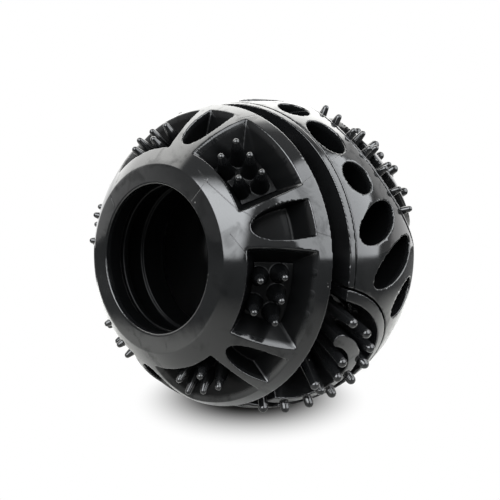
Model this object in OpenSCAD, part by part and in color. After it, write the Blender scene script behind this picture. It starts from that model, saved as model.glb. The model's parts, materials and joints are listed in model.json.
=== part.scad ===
// Rubber dental ball: a hollow ball with a wide mouth, a windowed front cap, a holed
// wave-shaped band round its rear half, and chewing nubs that stand in every recess.
// The ball lies on its side as it does on a floor, with its mouth facing -Y.
// Each part is written with the mouth axis along +Z and is then laid over by lay().
// A direction on the ball is given by two angles: tilt from the mouth axis and turn about it.

/* [Ball] */
// Radius of each half of the ball, over the smooth rubber
half_r = 41.3; // [38:0.1:48]
// Distance of each half's centre from the middle of the ball
half_shift = 1.7; // [1:0.1:3]
// Room left between two pieces of rubber that seat on each other
seat = 0.1; // [0.05:0.01:0.2]

/* [Mouth] */
// Diameter of the mouth
mouth_d = 34; // [28:0.5:38]
// How far the flat mouth face is cut back from the front of the smooth rubber
face_back = 6; // [5:0.1:7]
// Length of the smooth bore behind the mouth face
bore_len = 7; // [5:0.5:9]
// Depth of the ring recess behind the bore
recess_depth = 1.5; // [1:0.1:2]
// Width of the ring recess behind the bore
recess_w = 5.5; // [3:0.5:6]
// How much wider the neck's rear end is than the bore, on each side
neck_step = 0.6; // [0.3:0.1:0.9]
// Wall of the neck round the mouth
neck_wall = 4; // [3:0.1:4.5]

/* [Core] */
// Wall of the core round the treat chamber, under the rear recesses
core_wall = 4.5; // [4:0.1:6]
// Distance of the chamber's centre behind the middle of the ball
chamber_back = 2; // [1:0.1:3]
// Depth of the front windows, from the smooth rubber down to their floor
window_depth = 5.2; // [4:0.1:6]
// Depth of the rear recesses, from the smooth rubber down to their floor
field_depth = 9.3; // [8:0.1:10]
// Thickness of the pads that carry the nubs and form those floors
pad_t = 1; // [0.8:0.1:1.5]

/* [Front windows] */
// Number of nub windows, with one petal window between each two
window_count = 6; // [5:1:7]
// Turn of the first nub window about the mouth axis
window_turn = -15; // [-30:1:30]
// Tilt of the windows' edge next to the lip
lip_tilt = 38; // [36:0.5:40]
// Lean of the wall under the lip, from the mouth axis
lip_lean = 26; // [15:1:40]
// Tilt of the windows' edge next to the ring
ring_tilt = 59; // [57:0.5:60]
// Tilt of the cap's rear edge, where the groove starts
cap_tilt = 64; // [62:0.5:65]
// Lean of the nub window's side walls, from the face of the ring
wedge_lean = 34; // [25:1:40]
// Half angle between the side walls of a nub window
wedge_angle = 40.8; // [35:0.1:45]
// Tilt at which those walls would meet on the smooth rubber
wedge_tilt = 8.9; // [7:0.1:11]
// Half width of a petal window
petal_half_w = 4; // [3:0.1:4]
// Tilt of the petal window's round tip
petal_tip_tilt = 40.3; // [39.5:0.1:44]
// Tilt at which the petal window is widest
petal_wide_tilt = 54; // [50:0.5:56]

/* [Nubs] */
// How far the front nubs stand out past the smooth rubber
front_nub_out = 1.4; // [0.5:0.1:3]
// How far the rear nubs stand out past the smooth rubber
rear_nub_out = 2.2; // [0.5:0.1:2.2]
// How far the pegs beside a ladder end under the smooth rubber
channel_under = 0.5; // [0.2:0.1:2]
// Radius of a front nub at its foot
nub_foot_r = 2.15; // [1.5:0.05:2.3]
// Radius of a nub's round tip
nub_tip_r = 0.8; // [0.5:0.05:1]
// Radius of a rear peg at its foot
peg_foot_r = 2; // [1.4:0.05:2.2]
// Radius of a rear peg's round tip
peg_tip_r = 1.2; // [0.7:0.05:1.3]

/* [Rear half] */
// Tilt of the rear half's front edge, behind the groove
band_tilt = 67; // [66.5:0.1:68]
// Width of the bead along that edge, as an angle
bead_angle = 2.2; // [1.5:0.1:3]
// Width of the fine slits between rims and band, as an angle
slit_angle = 0.6; // [0.4:0.1:0.8]
// Tilt of the two side fields' centres
side_tilt = 66; // [64:0.5:68]
// Outer radius of a side field's rim, as an angle
side_rim = 32; // [31:0.1:33]
// Width of a side field's rim, as an angle
side_rim_w = 3.6; // [3:0.1:4.5]
// Distance from a side field's rim to its outer row of pegs, as an angle
peg_inset = 5.4; // [4.5:0.1:6.5]
// Width of the channel between a side field's rim and its hook-shaped wall, as an angle
side_channel = 7.7; // [7:0.1:9]
// How much tighter the upper arm of the hook-shaped wall bends than the lower one, as an angle
hook_shift = 3; // [1:0.5:5]
// Width of the hook-shaped wall, as an angle
hook_w = 4.5; // [4:0.1:6]
// Half of the turn that the hook-shaped wall runs through
hook_half_turn = 88; // [60:1:89]
// Tilt of the two rear fields' centres
rear_tilt = 124; // [122:0.5:125]
// Outer radius of a rear field's rim, as an angle
rear_rim = 38.5; // [37.5:0.1:39]
// Width of a rear field's rim, as an angle
rear_rim_w = 1.4; // [1:0.1:1.4]
// Width of the channel between a rear field's rim and its ring wall, as an angle
rear_channel = 9.6; // [9.2:0.1:10.5]
// Width of the ring wall, as an angle
ring_w = 4.5; // [3:0.1:5]

/* [Ladder] */
// Angle from one rib to the next, round a rear field's centre
rib_step = 14; // [12:0.5:16]
// Turn of the middle rib from the side of the field that is nearest the mouth
ladder_turn = 14; // [0:1:20]
// Nubs of the inner row on each side of the middle one
inner_each_side = 1; // [0:1:3]
// Ribs on each side of the middle one, each with a nub of the outer row
ribs_each_side = 3; // [2:1:4]
// Thickness of a rib
rib_w = 2.2; // [1.8:0.1:2.4]
// How far a rib's top lies under the smooth rubber
rib_under = 3.6; // [3:0.1:5]
// Radius of a ladder nub at its foot, on the rib
rung_foot_r = 1.6; // [1.05:0.05:1.8]

/* [Hidden] */

$fn = 96;
far = 2 * half_r;
reach = 1.25 * half_r;
mouth_r = mouth_d / 2;
mouth_face = half_shift + half_r - face_back;
neck_r = mouth_r + neck_wall;
window_floor_r = half_r - window_depth;
field_floor_r = half_r - field_depth;
core_front_r = window_floor_r - pad_t;
core_rear_r = field_floor_r - pad_t;
chamber_r = core_rear_r - core_wall;
neck_end = sqrt(chamber_r * chamber_r - neck_r * neck_r) - chamber_back;
wedge_start = half_r * sin(wedge_tilt + wedge_lean);
ring_face = half_shift + half_r * cos(ring_tilt);
cap_edge = half_shift + half_r * cos(cap_tilt);
waist_r = sqrt(core_front_r * core_front_r - pow(cap_edge - half_shift, 2));
window_step = 360 / window_count;

// Turns of the side and rear fields about the mouth axis
side_turns = [-45, 135];
rear_turns = [45, -135];

// Front nubs of a window: tilt, and turn from the window's middle
front_rows = [[42, -7], [42, 7], [48.7, -9], [48.7, 0], [48.7, 9]];

// Walls of the fields, and what a foot that stands beside a wall needs, as angles
hook_out = side_rim - side_rim_w - side_channel;
ring_out = rear_rim - rear_rim_w - rear_channel;
peg_foot = asin(peg_foot_r / field_floor_r) + slit_angle;
rung_tip = asin(nub_tip_r / half_r) + slit_angle;
outer_row = rear_rim - rear_rim_w - rung_tip;
inner_row = ring_out + rung_tip;

// Outer row of side pegs round a field's centre: radius, step, pegs each side, turn of the middle
side_row = [side_rim - side_rim_w - peg_inset, 21.6, 4, -3];
// Side pegs inside the hook-shaped wall: distance from the field's centre, and turn
hook_pegs = [for (p = [[1, -27], [1, 10], [1, 47], [0.48, -24]]) [p[0] * (hook_out - hook_w - peg_foot), p[1]]];
// Rear pegs round a field's centre: radius of the row and their number
rear_rows = [[0.7 * (ring_out - ring_w), 9], [0.26 * (ring_out - ring_w), 3]];
// Pegs in the open part of a rear field's channel: radius of the row, step, pegs each side
channel_row = [ring_out + rear_channel / 2, 22.5, 5];

// Holes of the band, from a rear field's middle line: tilt, turn, half length, half width, lean
holes_once = [[75.7, 0, 5.9, 4, 90], [111, 90, 5, 3.6, 90]];
holes_twice = [[77.4, 18, 4.3, 3.9, 63], [81, 33.5, 7.6, 4, -29], [90, 46.5, 10, 4, -30],
    [99.5, 59.5, 6.5, 3.7, -34], [108.5, 75, 4.7, 3.6, -60]];
// Holes of the strap across the back: tilt, turn, half length, half width, lean
holes_back = [[143, 90, 6.5, 4, 0], [180, 90, 5, 3.6, 90]];

// Height of the mouth axis above the floor, so that the lowest rubber or nub touches it.
// The ball rests on the rim of the long hole under it.
function rim_drop(h, turn, a) =
    let (u = h[2] * cos(a), v = h[3] * sin(a), w = sqrt(half_r * half_r - u * u - v * v))
    let (x = u * cos(h[4]) - v * sin(h[4]), y = u * sin(h[4]) + v * cos(h[4]))
    -(x * cos(h[0]) + w * sin(h[0])) * sin(turn + h[1]) - y * cos(turn + h[1]);
lowest_rubber = max([for (a = [0 : 5 : 355]) rim_drop(holes_twice[2], rear_turns[1], a)]);
function ladder_dir(turn, row, k) =
    let (b = ladder_turn + rib_step * k, c = cos(row), s = sin(row))
    let (x = -s * cos(b), y = -s * sin(b))
    let (px = x * cos(rear_tilt) + c * sin(rear_tilt), pz = c * cos(rear_tilt) - x * sin(rear_tilt))
    [px * cos(turn) - y * sin(turn), px * sin(turn) + y * cos(turn), pz];
lowest_nub = max([for (turn = rear_turns, k = [-ribs_each_side : ribs_each_side])
    -(half_r + rear_nub_out - nub_tip_r) * ladder_dir(turn, outer_row, k)[1] + nub_tip_r]);
axis_height = max(lowest_rubber, lowest_nub);

// Rearmost point of the ball, so that the origin lies under the middle of its length
rear_face = half_shift + half_r;
mid_y = (rear_face - mouth_face) / 2;

// Lays the mouth axis over to -Y and stands the ball on the floor
module lay() {
    translate([0, -mid_y, axis_height]) rotate([90, 0, 0]) children();
}

// Moves to a half's centre: side 1 is the front half, side -1 the rear half
module half(side) {
    translate([0, 0, side * half_shift]) children();
}

// Points +Z the way given by a tilt and a turn, with +X towards the rear
module aim(tilt, turn) {
    rotate([0, 0, turn]) rotate([0, tilt, 0]) children();
}

// Solid cone from a half's centre out past its skin
module cone(angle) {
    cylinder(h = reach, r1 = 0, r2 = reach * tan(angle));
}

// Part of a ball of radius r that lies between two cones
module cone_ring(inner, outer, r) {
    difference() {
        intersection() {
            sphere(r = r);
            cone(outer);
        }
        if (inner > 0) cone(inner);
    }
}

// Outer form of the core, grown by a clearance
module core_form(grow) {
    intersection() {
        half(1) sphere(r = core_front_r + grow);
        translate([0, 0, cap_edge]) cylinder(h = far, r = half_r);
    }
    translate([0, 0, -half_shift]) cylinder(h = cap_edge + half_shift + grow, r = waist_r + grow);
    half(-1) sphere(r = core_rear_r + grow);
}

// Nub with a round tip: foot at depth foot_at, tip at tip_at from the half's centre
module nub(foot_at, tip_at, foot_r, tip_r) {
    translate([0, 0, foot_at]) cylinder(h = tip_at - tip_r - foot_at, r1 = foot_r, r2 = tip_r, $fn = 32);
    translate([0, 0, tip_at - tip_r]) sphere(r = tip_r, $fn = 32);
}

module chamber() {
    translate([0, 0, -chamber_back]) sphere(r = chamber_r);
}

// Smooth bore of the mouth, the ring recess behind it, and the neck's wider rear end
module mouth_bore() {
    translate([0, 0, mouth_face - bore_len]) cylinder(h = far, r = mouth_r);
    translate([0, 0, mouth_face - bore_len - recess_w]) cylinder(h = recess_w, r = mouth_r + recess_depth);
    cylinder(h = mouth_face - bore_len - recess_w / 2, r = mouth_r + neck_step);
}

// Space of a nub window, less a gap: between the lip and the face of the ring, with leaning side walls
module nub_window(gap) {
    spread = tan(wedge_angle);
    lip_r = half_r * sin(lip_tilt);
    lip_z = half_shift + half_r * cos(lip_tilt);
    foot_drop = lip_z - ring_face;
    intersection() {
        rotate_extrude() polygon([
            [lip_r - foot_drop * tan(lip_lean) + gap, ring_face + gap],
            [lip_r + half_r * tan(lip_lean) / 2 + gap, lip_z + half_r / 2],
            [far, lip_z + half_r / 2],
            [far, ring_face + gap]]);
        rotate([0, -wedge_lean, 0]) linear_extrude(height = 2 * far, center = true) polygon([
            [wedge_start + gap / sin(wedge_angle), 0],
            [far, spread * (far - wedge_start) - gap / cos(wedge_angle)],
            [far, gap / cos(wedge_angle) - spread * (far - wedge_start)]]);
    }
}

// Cutter for a petal window: a half ellipse for the tip, then straight to the face of the ring
module petal_window() {
    mm = PI * half_r / 180;
    tip = (petal_tip_tilt - petal_wide_tilt) * mm;
    steps = 14;
    difference() {
        petal_prism(tip, steps);
        half(1) sphere(r = window_floor_r);
    }
}

module petal_prism(tip, steps) {
    intersection() {
        half(1) aim(petal_wide_tilt, 0) linear_extrude(height = far) polygon(concat(
            [for (i = [0 : steps]) [tip * sin(180 * i / steps), -petal_half_w * cos(180 * i / steps)]],
            [[half_r / 4, petal_half_w], [half_r / 4, -petal_half_w]]));
        translate([0, 0, ring_face]) cylinder(h = far, r = far);
    }
}

module front_cap() {
    color("#1b1c1e") lay() difference() {
        union() {
            difference() {
                intersection() {
                    half(1) sphere(r = half_r);
                    translate([0, 0, cap_edge]) cylinder(h = mouth_face - cap_edge, r = far);
                }
                core_form(seat);
            }
            translate([0, 0, neck_end]) cylinder(h = cap_edge + core_front_r / 3 - neck_end, r = neck_r);
        }
        mouth_bore();
        chamber();
        for (i = [0 : window_count - 1]) rotate([0, 0, window_turn + i * window_step]) {
            nub_window(0);
            rotate([0, 0, window_step / 2]) petal_window();
        }
    }
}

module chamber_core() {
    color("#151618") lay() difference() {
        core_form(0);
        chamber();
        cylinder(h = far, r = neck_r + seat);
    }
}

// Floor pad of a nub window with its nubs
module front_nubs(i) {
    color("#202124") lay() rotate([0, 0, window_turn + (i - 1) * window_step]) difference() {
        intersection() {
            nub_window(seat);
            half(1) union() {
                sphere(r = window_floor_r);
                for (row = front_rows) aim(row[0], row[1])
                    nub(window_floor_r - pad_t / 2, half_r + front_nub_out, nub_foot_r, nub_tip_r);
            }
        }
        core_form(seat);
    }
}

// Cutter for one oval hole of the band, on the rear half
module oval(h) {
    steps = 36;
    half(-1) aim(h[0], h[1]) rotate([0, 0, h[4]]) linear_extrude(height = far) polygon(
        [for (i = [0 : steps - 1]) [h[2] * cos(360 * i / steps), h[3] * sin(360 * i / steps)]]);
}

// Everything that the four round fields take out of the band, widened by an angle
module fields(extra) {
    half(-1) {
        for (turn = side_turns) aim(side_tilt, turn) cone(side_rim + extra);
        for (turn = rear_turns) aim(rear_tilt, turn) cone(rear_rim + extra);
    }
}

module wave_band() {
    color("#1b1c1e") lay() difference() {
        half(-1) sphere(r = half_r);
        core_form(seat);
        half(-1) cone(band_tilt + bead_angle + slit_angle / 2);
        fields(slit_angle);
        for (turn = rear_turns) rotate([0, 0, turn]) {
            for (h = holes_once) oval(h);
            for (h = holes_twice) {
                oval(h);
                mirror([0, 1, 0]) oval(h);
            }
            oval(holes_back[0]);
        }
        oval(holes_back[1]);
    }
}

module band_bead(i) {
    color("#242528") lay() difference() {
        intersection() {
            half(-1) cone_ring(band_tilt, band_tilt + bead_angle, half_r);
            rotate([0, 0, rear_turns[i]]) keep_sector(-90, 90);
        }
        core_form(seat);
        fields(slit_angle);
    }
}

module side_rim(i) {
    color("#26272a") lay() difference() {
        half(-1) aim(side_tilt, side_turns[i]) cone_ring(side_rim - side_rim_w, side_rim, half_r);
        core_form(seat);
        half(-1) cone(band_tilt);
    }
}

// Keeps the part of a ring that lies between two turns from the +X side
module keep_sector(from, to) {
    wide = [for (a = [0 : 8]) [far * cos(from + (to - from) * a / 8), far * sin(from + (to - from) * a / 8)]];
    linear_extrude(height = 2 * far, center = true) polygon(concat([[0, 0]], wide));
}

// Hook-shaped wall of a side field, grown by an angle: two arcs that meet on its rear side
module hook_wall(i, grow) {
    half(-1) for (arm = [-1, 1]) {
        shift = arm > 0 ? hook_shift : 0;
        outer = hook_out - shift;
        aim(side_tilt + shift, side_turns[i]) {
            intersection() {
                cone_ring(outer - hook_w - grow, outer + grow, half_r);
                keep_sector(min(0, arm * hook_half_turn), max(0, arm * hook_half_turn));
            }
            intersection() {
                rotate([0, 0, arm * hook_half_turn]) rotate([0, outer - hook_w / 2, 0])
                    cone(1.05 * (hook_w / 2 + grow));
                sphere(r = half_r);
            }
        }
    }
}

module side_hook(i) {
    color("#1f2023") lay() difference() {
        hook_wall(i, 0);
        half(-1) sphere(r = field_floor_r + seat);
        core_form(seat);
        half(-1) cone(band_tilt);
    }
}

// One rear peg, aimed from a field's centre, that stands out past the smooth rubber
module peg(radius, bearing, out) {
    rotate([0, 0, bearing]) rotate([0, radius, 0])
        nub(field_floor_r - pad_t / 2, half_r + out, peg_foot_r, peg_tip_r);
}

// Floor pad of a side field with its pegs
module side_pegs(i) {
    color("#202124") lay() difference() {
        union() {
            difference() {
                half(-1) aim(side_tilt, side_turns[i])
                    cone_ring(0, side_rim - side_rim_w - slit_angle, field_floor_r);
                half(-1) cone(band_tilt);
            }
            half(-1) aim(side_tilt, side_turns[i]) intersection() {
                for (k = [-side_row[2] : side_row[2]])
                    peg(side_row[0], k * side_row[1] + side_row[3], rear_nub_out);
                cone_ring(hook_out + slit_angle, side_rim - side_rim_w - slit_angle, half_r + far / 8);
            }
            half(-1) intersection() {
                aim(side_tilt, side_turns[i]) for (p = hook_pegs) peg(p[0], p[1], rear_nub_out);
                aim(side_tilt + hook_shift, side_turns[i]) cone(hook_out - hook_shift - hook_w - slit_angle);
            }
        }
        core_form(seat);
    }
}

module rear_rim(i) {
    color("#26272a") lay() difference() {
        half(-1) aim(rear_tilt, rear_turns[i]) cone_ring(rear_rim - rear_rim_w, rear_rim, half_r);
        core_form(seat);
    }
}

module rear_ring(i) {
    color("#1f2023") lay() difference() {
        half(-1) aim(rear_tilt, rear_turns[i]) cone_ring(ring_out - ring_w, ring_out, half_r);
        half(-1) sphere(r = field_floor_r + seat);
        core_form(seat);
    }
}

// Keeps the part of a rear field's ring that the ladder takes, grown by an angle
module ladder_sector(grow) {
    span = rib_step * (ribs_each_side + 0.5) + grow;
    rotate([0, 0, 180 + ladder_turn]) keep_sector(-span, span);
}

// Floor, ribs and nubs across the front part of a rear field's channel
module rear_ladder(i) {
    color("#202124") lay() difference() {
        half(-1) aim(rear_tilt, rear_turns[i]) intersection() {
            union() {
                intersection() {
                    sphere(r = half_r - rib_under);
                    union() {
                        sphere(r = field_floor_r);
                        for (k = [-ribs_each_side : ribs_each_side]) rung_turn(k)
                            translate([0, -rib_w / 2, -far]) cube([far, rib_w, 2 * far]);
                    }
                }
                for (k = [-ribs_each_side : ribs_each_side]) rung_turn(k) rotate([0, outer_row, 0]) rung();
                for (k = [-inner_each_side : inner_each_side]) rung_turn(k) rotate([0, inner_row, 0]) rung();
            }
            cone_ring(ring_out + slit_angle, rear_rim - rear_rim_w - slit_angle, half_r + far / 8);
            ladder_sector(0);
        }
        core_form(seat);
    }
}

module rung_turn(k) {
    rotate([0, 0, 180 + ladder_turn + k * rib_step]) children();
}

// One nub that stands on a rib
module rung() {
    nub(half_r - rib_under - pad_t / 2, half_r + rear_nub_out, rung_foot_r, nub_tip_r);
}

// Floor pad of a rear field with its pegs, under the ring wall and beside the ladder
module rear_pegs(i) {
    color("#202124") lay() difference() {
        half(-1) aim(rear_tilt, rear_turns[i]) {
            difference() {
                cone_ring(0, rear_rim - rear_rim_w - slit_angle, field_floor_r);
                intersection() {
                    cone_ring(ring_out + slit_angle / 2, rear_rim, half_r);
                    ladder_sector(slit_angle);
                }
            }
            for (row = rear_rows, k = [0 : row[1] - 1]) peg(row[0], 360 / row[1] * (k + 0.5), rear_nub_out);
            for (k = [-channel_row[2] : channel_row[2]]) 
                peg(channel_row[0], ladder_turn + k * channel_row[1], -channel_under);
        }
        core_form(seat);
    }
}

front_cap();
chamber_core();
wave_band();
band_bead(0);  // band_bead_1
band_bead(1);  // band_bead_2
front_nubs(1);  // front_nubs_1
front_nubs(2);  // front_nubs_2
front_nubs(3);  // front_nubs_3
front_nubs(4);  // front_nubs_4
front_nubs(5);  // front_nubs_5
front_nubs(6);  // front_nubs_6
side_rim(0);  // side_rim_1
side_rim(1);  // side_rim_2
side_hook(0);  // side_hook_1
side_hook(1);  // side_hook_2
side_pegs(0);  // side_pegs_1
side_pegs(1);  // side_pegs_2
rear_rim(0);  // rear_rim_1
rear_rim(1);  // rear_rim_2
rear_ladder(0);  // rear_ladder_1
rear_ladder(1);  // rear_ladder_2
rear_ring(0);  // rear_ring_1
rear_ring(1);  // rear_ring_2
rear_pegs(0);  // rear_pegs_1
rear_pegs(1);  // rear_pegs_2
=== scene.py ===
# %% [markdown]
# # A rubber dental ball, dressed in Blender
# The ball is a hollow rubber moulding with a wide mouth, a windowed front cap and a wavy band
# round its rear half. Its exact solids come from the CAD model. Here every edge gets the small
# roundness that a rubber mould gives, and the rubber gets its gloss, its smudges and dust, and
# the thin lines that mark where the hot rubber flowed together in the mould.

# %% Load the CAD frame
import json
import math

import bmesh
import bpy
from mathutils import Matrix, Vector


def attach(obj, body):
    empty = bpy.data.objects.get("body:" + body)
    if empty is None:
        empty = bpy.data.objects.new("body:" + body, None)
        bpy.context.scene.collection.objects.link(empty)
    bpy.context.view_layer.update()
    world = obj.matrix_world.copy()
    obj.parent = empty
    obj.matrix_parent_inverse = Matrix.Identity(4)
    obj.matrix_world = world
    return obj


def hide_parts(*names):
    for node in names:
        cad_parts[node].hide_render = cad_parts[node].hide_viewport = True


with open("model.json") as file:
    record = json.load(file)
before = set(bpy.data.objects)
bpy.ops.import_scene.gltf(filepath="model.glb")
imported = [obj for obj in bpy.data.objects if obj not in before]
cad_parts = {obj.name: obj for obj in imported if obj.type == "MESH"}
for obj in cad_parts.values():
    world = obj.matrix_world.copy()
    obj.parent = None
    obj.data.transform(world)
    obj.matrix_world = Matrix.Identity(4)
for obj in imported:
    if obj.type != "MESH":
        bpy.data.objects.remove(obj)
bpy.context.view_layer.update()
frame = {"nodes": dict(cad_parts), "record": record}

print("pieces in the frame:", len(frame["nodes"]))

# %% [markdown]
# ## Where things are
# All sizes are in metres. The ball lies on its side, with its mouth facing -Y. It is made of two
# half-balls of one radius whose centres lie a little apart along the mouth axis, so nearly every
# surface is part of a sphere about one of those two points. They are kept here by name.

# %% Name the ball's own measures
MM = 0.001
HALF_R = 41.3 * MM
HALF_SHIFT = 1.7 * MM  # distance of each half-ball's centre from the middle of the ball
mouth = frame["record"]["mounts"][0]
MIDDLE = Vector((0, -3 * MM, mouth["pos_m"][2]))
FRONT_CENTRE = MIDDLE + Vector((0, -HALF_SHIFT, 0))
REAR_CENTRE = MIDDLE + Vector((0, HALF_SHIFT, 0))
print("middle of the ball:", [round(v, 4) for v in MIDDLE])

# %% [markdown]
# ## The camera
# The photo was taken from close by, about two ball widths away, which shows in how large the
# mouth looks. The camera stands 39 degrees to the right of the mouth axis, a touch above it, and
# aims a hair beside the middle of the ball. A camera looks along its own -Z, so it is turned
# first and then pushed back from the ball along its own axes.

# %% Place the camera
TURN, RISE, ROLL = math.radians(39.17), math.radians(1.98), math.radians(-0.32)
STEP_BACK = Vector((-1.34 * MM, 0.92 * MM, 168 * MM))
camera_turn = (Matrix.Rotation(TURN, 3, "Z") @ Matrix.Rotation(math.pi / 2 - RISE, 3, "X")
               @ Matrix.Rotation(ROLL, 3, "Z"))
camera_data = bpy.data.cameras.new("camera")
camera_data.lens = 44.25
camera_data.sensor_width = 36
camera_data.clip_start = 0.01
camera = bpy.data.objects.new("camera", camera_data)
camera.matrix_world = (Matrix.Translation(MIDDLE + camera_turn @ STEP_BACK)
                       @ camera_turn.to_4x4())
bpy.context.scene.collection.objects.link(camera)
bpy.context.scene.camera = camera
print("camera at", [round(v, 4) for v in camera.matrix_world.translation])

# %% [markdown]
# ## Shader maths as plain expressions
# Node graphs get long quickly, so a small class wraps a socket and turns Python's own operators
# into Math nodes. A mask can then be written the way one would say it: 1 - mask, or a * b + c.

# %% Wrap sockets for shader maths
class Socket:
    """A node's output that can be added, subtracted and multiplied like a number."""

    def __init__(self, shader, out):
        self.shader, self.out = shader, out

    def math(self, operation, *values, first=None):
        start = self if first is None else first
        return self.shader.node("ShaderNodeMath", {"operation": operation}, start, *values)

    def __add__(self, other):
        return self.math("ADD", other)

    def __radd__(self, other):
        return self.math("ADD", self, first=other)

    def __sub__(self, other):
        return self.math("SUBTRACT", other)

    def __rsub__(self, other):
        return self.math("SUBTRACT", self, first=other)

    def __mul__(self, other):
        return self.math("MULTIPLY", other)

    def __rmul__(self, other):
        return self.math("MULTIPLY", self, first=other)

    def __abs__(self):
        return self.math("ABSOLUTE")

    def smooth(self, low, high):
        """0 below low, 1 above high, and a soft step between them."""
        return self.shader.node("ShaderNodeMapRange", {"interpolation_type": "SMOOTHSTEP"},
                                self, low, high, 0.0, 1.0)


print("a socket can be used with + - * abs() and smooth()")

# %% [markdown]
# ## One way to make any node
# A node is made, then set, and then its sockets get a number or a link. When one method does all
# of this for every kind of node, a material reads as a list of what it is made of. The same
# class also serves the lamps and the world, since those have node trees of their own.

# %% Write the node maker
class Shader:
    """The nodes of a material, a lamp or the world: node() makes a node, sets it and links it."""

    def __init__(self, owner):
        self.owner = bpy.data.materials.new(owner) if isinstance(owner, str) else owner
        self.owner.use_nodes = True
        self.tree = self.owner.node_tree
        self.tree.nodes.clear()

    def node(self, kind, settings, *values, out=0, **named):
        made = self.tree.nodes.new(kind)
        for key, value in settings.items():
            setattr(made, key, value)
        for key, value in list(enumerate(values)) + list(named.items()):
            socket = made.inputs[key.replace("_", " ") if isinstance(key, str) else key]
            if isinstance(value, Socket):
                self.tree.links.new(value.out, socket)
            else:
                socket.default_value = value
        return Socket(self, made.outputs[out])

    def tone(self, share, first, second):
        """A colour between two others. A Mix node's colours are its sockets 6 and 7."""
        mixed = self.node("ShaderNodeMix", {"data_type": "RGBA"}, share, out=2)
        mixed.out.node.inputs[6].default_value = first
        mixed.out.node.inputs[7].default_value = second
        return mixed

    def finish(self, surface, end="ShaderNodeOutputMaterial"):
        self.tree.links.new(surface.out, self.tree.nodes.new(end).inputs["Surface"])
        return self.owner


print("shaders can be made for materials, lamps and the world")

# %% [markdown]
# ## Flow lines
# Where two streams of hot rubber met in the mould, the skin keeps a short, very thin line that
# catches the light. Modelling grooves a fifth of a millimetre wide would take millions of faces.
# A plane that cuts the skin gives the same line as a mask in the material, and the mask then
# lowers the skin's bump. Each line has its middle, half its length and its plane's normal.

# %% Mark the flow lines
FLOW_LINES = [  # middle of the line and half its length in millimetres, and the plane's normal
    ((14.7, -40.3, 55.8), 2.8, (0.544, 0.576, -0.610)),
    ((19.4, -38.1, 54.9), 4.9, (-0.530, -0.419, -0.737)),
    ((14.8, -38.8, 59.0), 1.5, (-0.610, -0.506, -0.610)),
    ((24.6, -35.7, 52.8), 1.9, (0.405, 0.373, -0.835)),
    ((24.7, -36.3, 51.0), 1.6, (-0.421, -0.319, -0.849)),
    ((24.0, -38.0, 44.5), 2.5, (-0.592, -0.521, -0.614)),
    ((31.8, -24.6, 58.4), 1.8, (0.446, 0.376, -0.812)),
    ((16.3, -24.6, 73.5), 1.8, (0.034, 0.253, -0.967)),
    ((35.8, -24.5, 46.6), 1.2, (-0.243, -0.165, -0.956)),
    ((-12.9, -41.2, 55.3), 1.9, (-0.598, -0.733, -0.325)),
    ((32.0, -13.4, 63.9), 3.8, (0.384, 0.346, -0.856)),
    ((18.8, -8.7, 76.6), 6.7, (-0.046, 0.192, -0.980)),
]
CAP_LINES, BAND_LINES = FLOW_LINES[:10], FLOW_LINES[10:]
LINE_BED = 0.03 * MM  # half width of a line at its full depth
LINE_EDGE = 0.12 * MM  # half width of a line where it meets the skin
LINE_TAIL = 0.8  # how far a line fades out at its ends, in millimetres


def flow_line(s, place, middle, half, normal):
    """A mask for the short, thin line in which the plane through middle cuts the skin."""
    level = sum(m * n for m, n in zip(middle, normal)) * MM
    along = s.node("ShaderNodeVectorMath", {"operation": "DISTANCE"}, place,
                   tuple(m * MM for m in middle), out=1)
    across = s.node("ShaderNodeVectorMath", {"operation": "DOT_PRODUCT"}, place, normal, out=1)
    return ((1 - abs(across - level).smooth(LINE_BED, LINE_EDGE))
            * (1 - along.smooth(half * MM, (half + LINE_TAIL) * MM)))


print("flow lines:", len(CAP_LINES), "on the cap and", len(BAND_LINES), "on the band")

# %% [markdown]
# ## Marks in the skin
# The mould's steel leaves a faint orange peel, handling leaves dull smudges, and pale dust sticks
# to rubber. Three noises of different sizes give the smudges, the fine streaks and the peel. The
# dust comes from the cells of a Voronoi pattern, of which a fourth noise keeps only a few.

# %% Write the skin's marks
SMUDGE_SCALE, PEEL_SCALE = 90.0, 900.0
LINE_DEPTH = 9  # depth of a flow line, against 0.6 for the orange peel


def skin_marks(s, place, lines):
    """Smudges, streaks and dust specks as masks, and the height of the skin with its lines."""
    smudge = s.node("ShaderNodeTexNoise", {}, place, Scale=SMUDGE_SCALE, Detail=5.0,
                    Roughness=0.6)
    streak = s.node("ShaderNodeTexNoise", {}, place, Scale=420.0, Detail=3.0)
    peel = s.node("ShaderNodeTexNoise", {}, place, Scale=PEEL_SCALE, Detail=2.0)
    grains = s.node("ShaderNodeTexVoronoi", {"feature": "F1"}, place, Scale=420.0)
    keep = s.node("ShaderNodeTexNoise", {}, place, Scale=260.0, Detail=1.0)
    speck = (1 - grains.smooth(0.03, 0.09)) * keep.smooth(0.62, 0.66)
    height = peel * 0.6 + streak * 0.4 + speck * 2
    for line in lines:
        height = height - flow_line(s, place, *line) * LINE_DEPTH
    return smudge, streak, speck, height


print("smudges are about", round(1 / SMUDGE_SCALE / MM), "mm wide, and the peel's bumps about",
      round(1 / PEEL_SCALE / MM), "mm")

# %% [markdown]
# ## Dark in the depths
# Light that enters a window or a hole is soon lost between black walls, so the walls look far
# darker than the skin, although they are the same rubber. With the skin's gloss they would mirror
# the lights and come out too grey, so the material goes over to a dull black below the skin, which
# is painted shade in the recesses. How deep a point lies is known from its distance to the middle
# of its half-ball. The flat face round the mouth lies under the sphere too, but it counts as skin.

# %% Write the depth mask
DEPTH_FADE = 1.2  # how deep, in millimetres, the skin takes to go over to dull black
FACE_END = (-39.2 * MM, -38.2 * MM)  # where the mouth's flat face ends and its depths begin, in Y


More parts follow.
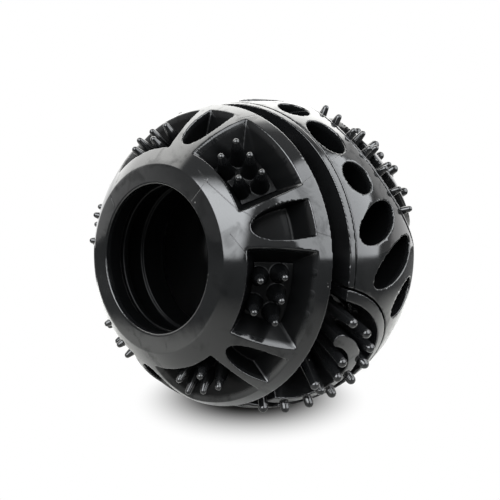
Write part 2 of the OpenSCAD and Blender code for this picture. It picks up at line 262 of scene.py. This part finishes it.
def deep_shade_share(s, place, centre, depth, hollow):
    """The share of painted shade: 1 for rubber that lies more than depth millimetres under its
    half-ball, 0 for the skin.

    What lies nearer to centre than hollow isn't counted as deep.
    """
    y = s.node("ShaderNodeSeparateXYZ", {}, place, out=1)
    radius = s.node("ShaderNodeVectorMath", {"operation": "DISTANCE"}, place, tuple(centre), out=1)
    share = ((1 - radius.smooth(HALF_R - (depth + DEPTH_FADE) * MM, HALF_R - depth * MM))
             * y.smooth(*FACE_END))
    return share * radius.smooth(hollow, hollow + 1 * MM) if hollow else share


print("the skin goes over to dull black within", DEPTH_FADE, "mm")

# %% [markdown]
# ## Black rubber
# Moulded rubber is black with a wet-looking gloss, but it is never a perfect mirror. Its gloss is
# a Principled shader with a thin coat. Smudges and streaks change the roughness, and dust lightens
# the colour. A second, dull shader stands for rubber that was wiped, and as painted shade for
# rubber that lies deep in a recess, and a Mix Shader goes from one to the other.

# %% Write the rubber
DUST = (0.16, 0.16, 0.15, 1)
# The dull black stands for wiped rubber, and on deep walls for painted shade; the second share
# below is how strong that painted shade gets.
WIPED_AND_SHADE_BLACK = (0.0014, 0.0015, 0.0016, 1)
SKIN_IOR, WIPED_AND_SHADE_IOR = 1.46, 1.17
WIPED_SHARE, DEEP_SHADE_SHARE = 0.38, 0.96  # how dull a wiped spot and a deep wall are at the most


def rubber(name, colour, gloss, peel, centre=None, depth=0.3, lines=(), hollow=0.0):
    """Black moulded rubber: gloss is its roughness, peel the depth of its orange peel in metres.

    More than depth millimetres under the half-ball about centre it goes over to a dull black as
    painted shade, but not within the hollow, and lines are the flow lines that the mould left in
    its skin.
    """
    s = Shader(name)
    place = s.node("ShaderNodeTexCoord", {}, out="Object")
    smudge, streak, speck, height = skin_marks(s, place, lines)
    tint = s.tone(speck * 0.8 + smudge.smooth(0.55, 0.85) * 0.05, (*colour, 1), DUST)
    rough = gloss + smudge.smooth(0.45, 0.8) * 0.08 + streak * 0.03 + speck * 0.3
    bump = s.node("ShaderNodeBump", {}, Strength=1.0, Distance=peel, Height=height)
    skin = s.node("ShaderNodeBsdfPrincipled", {}, Base_Color=tint, Roughness=rough, Normal=bump,
                  IOR=SKIN_IOR, Coat_Weight=0.35, Coat_Roughness=0.04)
    # The dull shader: wiped rubber, and painted shade deep in recesses.
    dull = s.node("ShaderNodeBsdfPrincipled", {}, Base_Color=WIPED_AND_SHADE_BLACK,
                  Roughness=0.3 + smudge * 0.1, Normal=bump, IOR=WIPED_AND_SHADE_IOR)
    wiped = s.node("ShaderNodeTexNoise", {}, place, Scale=210.0, Detail=4.0, Roughness=0.55,
                   Distortion=0.6)
    share = wiped.smooth(0.53, 0.7) * WIPED_SHARE
    if centre is not None:
        # Painted shade: deep rubber goes over to the dull black, except in the hollow.
        share = share + deep_shade_share(s, place, centre, depth, hollow) * (DEEP_SHADE_SHARE - share)
    return s.finish(s.node("ShaderNodeMixShader", {}, share, skin, dull))


print("rubber: refractive index", SKIN_IOR, "on the skin and", WIPED_AND_SHADE_IOR, "where it is dull")

# %% [markdown]
# ## The ball's rubbers
# It is one rubber everywhere, but a moulding doesn't shine alike all over. The cap and the band
# came off polished steel, while rims and core are a little duller. The pegs and ladders stand free
# in their fields and keep their gloss down to the foot, so their rubber has no depth mask and no
# painted shade. The core's has one that leaves out the chamber inside.

# %% Make the ball's rubbers
HOLLOW_R = 27.4 * MM  # just outside the wall of the treat chamber
SKIN_BLACK = (0.0045, 0.0048, 0.005)
RUBBERS = {
    "cap_rubber": rubber("cap", SKIN_BLACK, 0.075, 6e-6, FRONT_CENTRE, 0.5, CAP_LINES),
    "band_rubber": rubber("band", SKIN_BLACK, 0.08, 6e-6, REAR_CENTRE, 0.5, BAND_LINES),
    "rim_rubber": rubber("rim", (0.005, 0.0052, 0.0055), 0.1, 6e-6),
    "nub_rubber": rubber("nub", (0.0045, 0.0047, 0.005), 0.08, 5e-6, FRONT_CENTRE, 0.4),
    "core_rubber": rubber("core", (0.012, 0.012, 0.0125), 0.12, 6e-6, REAR_CENTRE,
                          hollow=HOLLOW_R),
}
PEG_RUBBER = rubber("peg", (0.006, 0.0063, 0.0066), 0.04, 4e-6)
for key, made in RUBBERS.items():
    print(key, "has", len(made.node_tree.nodes), "nodes")

# %% [markdown]
# ## Rounding every edge the way a mould does
# The CAD solids have knife-sharp edges, and rubber never has. Bevelling hundreds of curved window
# and hole edges by hand would be slow and would break where they meet. Instead a merged copy of
# each solid is remeshed into an even, fine grid, which is then relaxed: flat and round areas keep
# their place, and every edge and corner gets a radius of a few tenths of a millimetre. Points
# that still lie next to their half-ball are put back on it, so that the big reflections run clean.

# %% Write the helpers for meshes
SAME_POINT = 0.000002  # corners of the loose CAD triangles that lie this close are one point


def edit(mesh, change):
    """Opens a mesh as a bmesh, lets change work on it and writes it back."""
    bm = bmesh.new()
    bm.from_mesh(mesh)
    change(bm)
    bm.to_mesh(mesh)
    bm.free()


def apply_modifiers(piece):
    """Makes what the modifiers show the piece's own mesh."""
    graph = bpy.context.evaluated_depsgraph_get()
    shown = bpy.data.meshes.new_from_object(piece.evaluated_get(graph))
    piece.modifiers.clear()
    piece.data = shown


def settle(bm, centre, reach):
    """Moves points within reach of the half-ball about centre onto it, the nearest ones most."""
    for v in bm.verts:
        offset = v.co - centre
        gap = offset.length - HALF_R
        if abs(gap) < reach:
            v.co -= offset.normalized() * gap * (1 - (gap / reach) ** 2) ** 2


print("points closer than", SAME_POINT, "m are merged")

# %% [markdown]
# ## From a CAD solid to a moulded piece
# One helper does it all: copy, merge, remesh, relax, settle and dress. The grid is chosen piece by
# piece. A finer grid keeps thinner tips and sharper edges but costs triangles, and the whole ball
# should stay under two million. A large piece that still has too many is thinned, which takes them
# from its flattest areas first. The original node stays, hidden, and the moulded copy stands for
# it in the picture.

# %% Write the moulding helper
COARSER = 1.0
MOST_TRIANGLES = 190000  # of one piece
SETTLE_REACH = 0.5  # how far from its half-ball a point is still settled, as a share of the grid


def moulded(node, slot, grid, rounds, centre=None, material=None):
    """Makes a copy of a CAD node with rounded edges, which stands for it from here on.

    grid is the remesh's grid in millimetres, rounds how often it is relaxed, and centre is the
    middle of the half-ball that the piece's skin is part of.
    """
    piece = bpy.data.objects.new("moulded_" + node, frame["nodes"][node].data.copy())
    bpy.context.scene.collection.objects.link(piece)
    edit(piece.data, lambda bm: bmesh.ops.remove_doubles(bm, verts=bm.verts, dist=SAME_POINT))
    voxel = grid * MM * COARSER
    remesh = piece.modifiers.new("remesh", "REMESH")
    remesh.mode = "VOXEL"
    remesh.voxel_size = voxel
    relax = piece.modifiers.new("relax", "SMOOTH")
    relax.factor = 0.5
    relax.iterations = rounds
    apply_modifiers(piece)
    if centre is not None:
        edit(piece.data, lambda bm: settle(bm, centre, voxel * SETTLE_REACH))
    triangles = 2 * len(piece.data.polygons)
    if triangles > MOST_TRIANGLES:
        piece.modifiers.new("fewer", "DECIMATE").ratio = MOST_TRIANGLES / triangles
        apply_modifiers(piece)
    piece.data.shade_smooth()
    piece.data.materials.clear()
    piece.data.materials.append(material or RUBBERS[slot])
    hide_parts(node)
    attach(piece, "root")
    print(node, "faces", len(piece.data.polygons))


print("grids are made", COARSER, "times as coarse")

# %% [markdown]
# ## The front cap
# The cap carries the lip, the neck behind the mouth, the spokes between the windows and the ring
# at its rear edge. Its outer skin is one sphere, and it is what the eye meets first, so three
# rounds of relaxing give it full, soft edges.

# %% Mould the front cap
moulded("front_cap", "cap_rubber", grid=0.24, rounds=3, centre=FRONT_CENTRE)

# %% [markdown]
# ## The band and its bead
# The band is what is left of the rear half-ball between four round fields. Its skin is the
# second sphere. It is the largest piece, so its grid is a little coarser. The bead is the narrow
# edge that lines the band's front, in two arcs.

# %% Mould the band and its bead
moulded("wave_band", "band_rubber", grid=0.27, rounds=3, centre=REAR_CENTRE)
for i in (1, 2):
    moulded(f"band_bead_{i}", "rim_rubber", grid=0.28, rounds=2, centre=REAR_CENTRE)

# %% [markdown]
# ## The front nubs
# Six windows of the cap hold five nubs each, on a thin pad that is the window's floor. The nubs
# clean the dog's teeth. They are slim, so they have the finest grid of all, or the relaxing
# would eat their tips.

# %% Mould the pads of the front nubs
for i in range(1, 7):
    moulded(f"front_nubs_{i}", "nub_rubber", grid=0.18, rounds=2)

# %% [markdown]
# ## The side and rear fields
# Each side field has a rim, a hook-shaped wall and a pad with long pegs, and each rear field a
# rim, a ladder of ribs with nubs, a ring wall and a pad with pegs. Rims and walls end in the
# ball's skin. Pegs and ladders have tips of their own that stand out past it, so they aren't
# settled on the sphere. What lies at the back may have a coarser grid.

# %% Mould the fields
for i in (1, 2):
    moulded(f"side_rim_{i}", "rim_rubber", grid=0.26, rounds=3, centre=REAR_CENTRE)
    moulded(f"side_hook_{i}", "rim_rubber", grid=0.22, rounds=3, centre=REAR_CENTRE)
    moulded(f"side_pegs_{i}", "nub_rubber", grid=0.22, rounds=2, material=PEG_RUBBER)
    moulded(f"rear_rim_{i}", "rim_rubber", grid=0.34, rounds=2, centre=REAR_CENTRE)
    moulded(f"rear_ladder_{i}", "nub_rubber", grid=0.21, rounds=2, material=PEG_RUBBER)
    moulded(f"rear_ring_{i}", "rim_rubber", grid=0.3, rounds=3, centre=REAR_CENTRE)
    moulded(f"rear_pegs_{i}", "nub_rubber", grid=0.34, rounds=2, material=PEG_RUBBER)

# %% [markdown]
# ## The core
# The core is seen only in shadow, at the bottom of the holes and through the mouth. The CAD
# surface is already round there, so the node itself stays and only gets its rubber.

# %% Dress the core
core = frame["nodes"]["chamber_core"]
core.data.materials.clear()
core.data.materials.append(RUBBERS["core_rubber"])
print("core faces", len(core.data.polygons))

# %% [markdown]
# ## The floor
# The ball lies on a plain sheet. A wide disc stands for it, so large that no view sees its edge.

# %% Lay the floor
FLOOR_R = 3.0
bm = bmesh.new()
bmesh.ops.create_circle(bm, cap_ends=True, segments=96, radius=FLOOR_R)
floor_mesh = bpy.data.meshes.new("floor")
bm.to_mesh(floor_mesh)
bm.free()
floor = bpy.data.objects.new("floor", floor_mesh)
bpy.context.scene.collection.objects.link(floor)
print("floor:", 2 * FLOOR_R, "m across")

# %% [markdown]
# ## White for the camera
# The paper is pure white right up to the ball. Lamps could make it so, but they would flood the
# gloss with light as well. So for the camera alone the paper glows with a strength of 1, which
# is exactly white. Under the ball that would leave no shadow, so there it is an ordinary dark
# surface, in a soft oval as wide and as long as the shadow. A Mapping node of the texture kind
# turns distances from the oval's middle into shares of its size.

# %% Make the paper that the camera sees
WHITE = (1, 1, 1, 1)
SHADOW_MIDDLE = (-8.6 * MM, 5.5 * MM, 0)
SHADOW_SIZE = (25 * MM, 34 * MM, 1)
SHADOW_TONE = (0.03, 0.029, 0.027, 1)
paper = Shader("paper")
paper_place = paper.node("ShaderNodeTexCoord", {}, out="Object")
oval = paper.node("ShaderNodeMapping", {"vector_type": "TEXTURE"}, paper_place,
                  SHADOW_MIDDLE, (0, 0, TURN), SHADOW_SIZE)
outward = paper.node("ShaderNodeVectorMath", {"operation": "LENGTH"}, oval, out=1)
shaded = paper.node("ShaderNodeBsdfDiffuse", {}, Color=SHADOW_TONE, Roughness=0.9)
white = paper.node("ShaderNodeEmission", {}, Color=WHITE, Strength=1.0)
seen_paper = paper.node("ShaderNodeMixShader", {}, outward.smooth(0.5, 1.35), shaded, white)
print("shadow:", [round(2 * side, 3) for side in SHADOW_SIZE[:2]], "m")

# %% [markdown]
# ## Grey for the gloss
# The rubber's lower half mirrors the sheet, and there it isn't white. The photo shows a lit
# sheet behind the ball and to its left, and darkness beyond it. So in reflections the paper is
# matt and pale near that place, and dark farther out. The Light Path node tells the two apart.

# %% Make the paper that the gloss mirrors
SHEET_MIDDLE = (-0.12, 0.05, 0)
SHEET_END = (0.165, 0.235)
PALE_SHEET = (0.55, 0.545, 0.525, 1)
DARK_SHEET = (0.07, 0.07, 0.07, 1)
grain = paper.node("ShaderNodeTexNoise", {}, paper_place, Scale=300.0, Detail=3.0)
distance = paper.node("ShaderNodeVectorMath", {"operation": "DISTANCE"}, paper_place,
                      SHEET_MIDDLE, out=1)
sheet_tone = paper.tone(distance.smooth(*SHEET_END), PALE_SHEET, DARK_SHEET)
lit_paper = paper.node("ShaderNodeBsdfDiffuse", {}, Color=sheet_tone,
                       Roughness=0.9 + grain * 0.05)
to_camera = paper.node("ShaderNodeLightPath", {}, out="Is Camera Ray")
paper_skin = paper.node("ShaderNodeMixShader", {}, to_camera, lit_paper, seen_paper)
floor_mesh.materials.append(paper.finish(paper_skin))
print("pale sheet:", 2 * SHEET_END[0], "m across")

# %% [markdown]
# ## The room
# Black gloss shows its surroundings more than its own colour. As the reflections in the photo
# tell, the room is bright on the side behind the ball and to its left, and dim elsewhere. A
# picture of a room could do this, but a strength that follows the direction of a ray is enough.
# The camera itself sees plain white.

# %% Light the room
BRIGHT_SIDE = (-0.755, 0.656, 0)
ROOM_DIM, ROOM_BRIGHTER = 0.32, 0.85
world = bpy.data.worlds.new("studio")
bpy.context.scene.world = world
sky = Shader(world)
toward = sky.node("ShaderNodeVectorMath", {"operation": "DOT_PRODUCT"},
                  sky.node("ShaderNodeTexCoord", {}, out="Generated"), BRIGHT_SIDE, out=1)
room = sky.node("ShaderNodeBackground", {}, Color=WHITE,
                Strength=toward.smooth(0.06, 0.22) * ROOM_BRIGHTER + ROOM_DIM)
backdrop = sky.node("ShaderNodeBackground", {}, Color=WHITE, Strength=1.0)
sky_ray = sky.node("ShaderNodeLightPath", {}, out="Is Camera Ray")
sky.finish(sky.node("ShaderNodeMixShader", {}, sky_ray, room, backdrop),
           "ShaderNodeOutputWorld")
print("room strength:", ROOM_DIM, "to", ROOM_DIM + ROOM_BRIGHTER)

# %% [markdown]
# ## Soft boxes
# A soft box is a lamp behind white cloth. An area lamp alone gives reflections with hard edges
# and one brightness, and cloth never looks so even: it fades towards its edges, and its lower
# end is dimmer. The Parametric output of the Geometry node tells where on the lamp a ray starts,
# so the lamp's own nodes can paint that fall-off.

# %% Write the soft box
def cloth_glow(s, fade, low, rise):
    """How bright the cloth is over its width and height, from 0 to 1."""
    spot = s.node("ShaderNodeNewGeometry", {}, out="Parametric")
    u = s.node("ShaderNodeSeparateXYZ", {}, spot, out=0)
    v = s.node("ShaderNodeSeparateXYZ", {}, spot, out=1)
    sides, bottom, top = fade
    glow = u.smooth(0.0, sides) * (1 - u.smooth(1 - sides, 1.0))
    glow = glow * v.smooth(0.0, bottom) * (1 - v.smooth(1 - top, 1.0))
    return glow * (v.smooth(*rise) * (1 - low) + low)


def soft_box(name, azimuth, elevation, distance, size, brightness, colour, low,
             fade=(0.12, 0.12, 0.12), rise=(0.1, 0.6)):
    """Makes an area lamp that faces the ball; azimuth goes from -Y towards +X, in degrees.

    low is how bright its lower end is, fade is how much of its width and of its bottom and top
    fades out, and rise is the part of its height over which it gets brighter.
    """
    a, e = math.radians(azimuth), math.radians(elevation)
    away = Vector((math.sin(a) * math.cos(e), -math.cos(a) * math.cos(e), math.sin(e)))
    width, height = size
    data = bpy.data.lights.new(name, "AREA")
    data.shape = "RECTANGLE"
    data.size, data.size_y = width, height
    data.energy = math.pi * width * height * brightness
    data.color = colour
    cloth = Shader(data)
    cloth.finish(cloth.node("ShaderNodeEmission", {}, Color=WHITE,
                            Strength=cloth_glow(cloth, fade, low, rise)),
                 "ShaderNodeOutputLight")
    lamp = bpy.data.objects.new(name, data)
    lamp.matrix_world = (Matrix.Translation(MIDDLE + away * distance)
                         @ away.to_track_quat("Z", "Y").to_matrix().to_4x4())
    lamp.visible_camera = False
    bpy.context.scene.collection.objects.link(lamp)
    print(name, "at", [round(v, 2) for v in lamp.matrix_world.translation])


print("a soft box is lit in proportion to its area, so its brightness doesn't change with size")

# %% [markdown]
# ## Three lights
# The reflections on the ball say where the photo's lights stood: a tall soft box in front and
# one on the right, with a dark gap between them, and a wide, dimmer one high at the back on the
# left. The first two are a little cool.

# %% Place the soft boxes
COOL, WARM = (0.94, 0.97, 1.0), (1.0, 1.0, 0.97)
soft_box("front_box", azimuth=12, elevation=25, distance=0.7, size=(0.70, 0.76),
         brightness=9.5, colour=COOL, low=0.65, fade=(0.15, 0.12, 0.25))
soft_box("side_box", azimuth=100, elevation=29, distance=0.7, size=(0.92, 0.88),
         brightness=5.0, colour=COOL, low=0.95, fade=(0.06, 0.05, 0.10))
soft_box("back_box", azimuth=-115, elevation=47, distance=0.9, size=(2.15, 1.25),
         brightness=3.1, colour=WARM, low=0.3, rise=(0.25, 0.75))

# %% [markdown]
# ## Plain tones
# The Standard view keeps tones as they are rendered, so white paper stays white.

# %% Keep the tones plain
bpy.context.scene.view_settings.view_transform = "Standard"
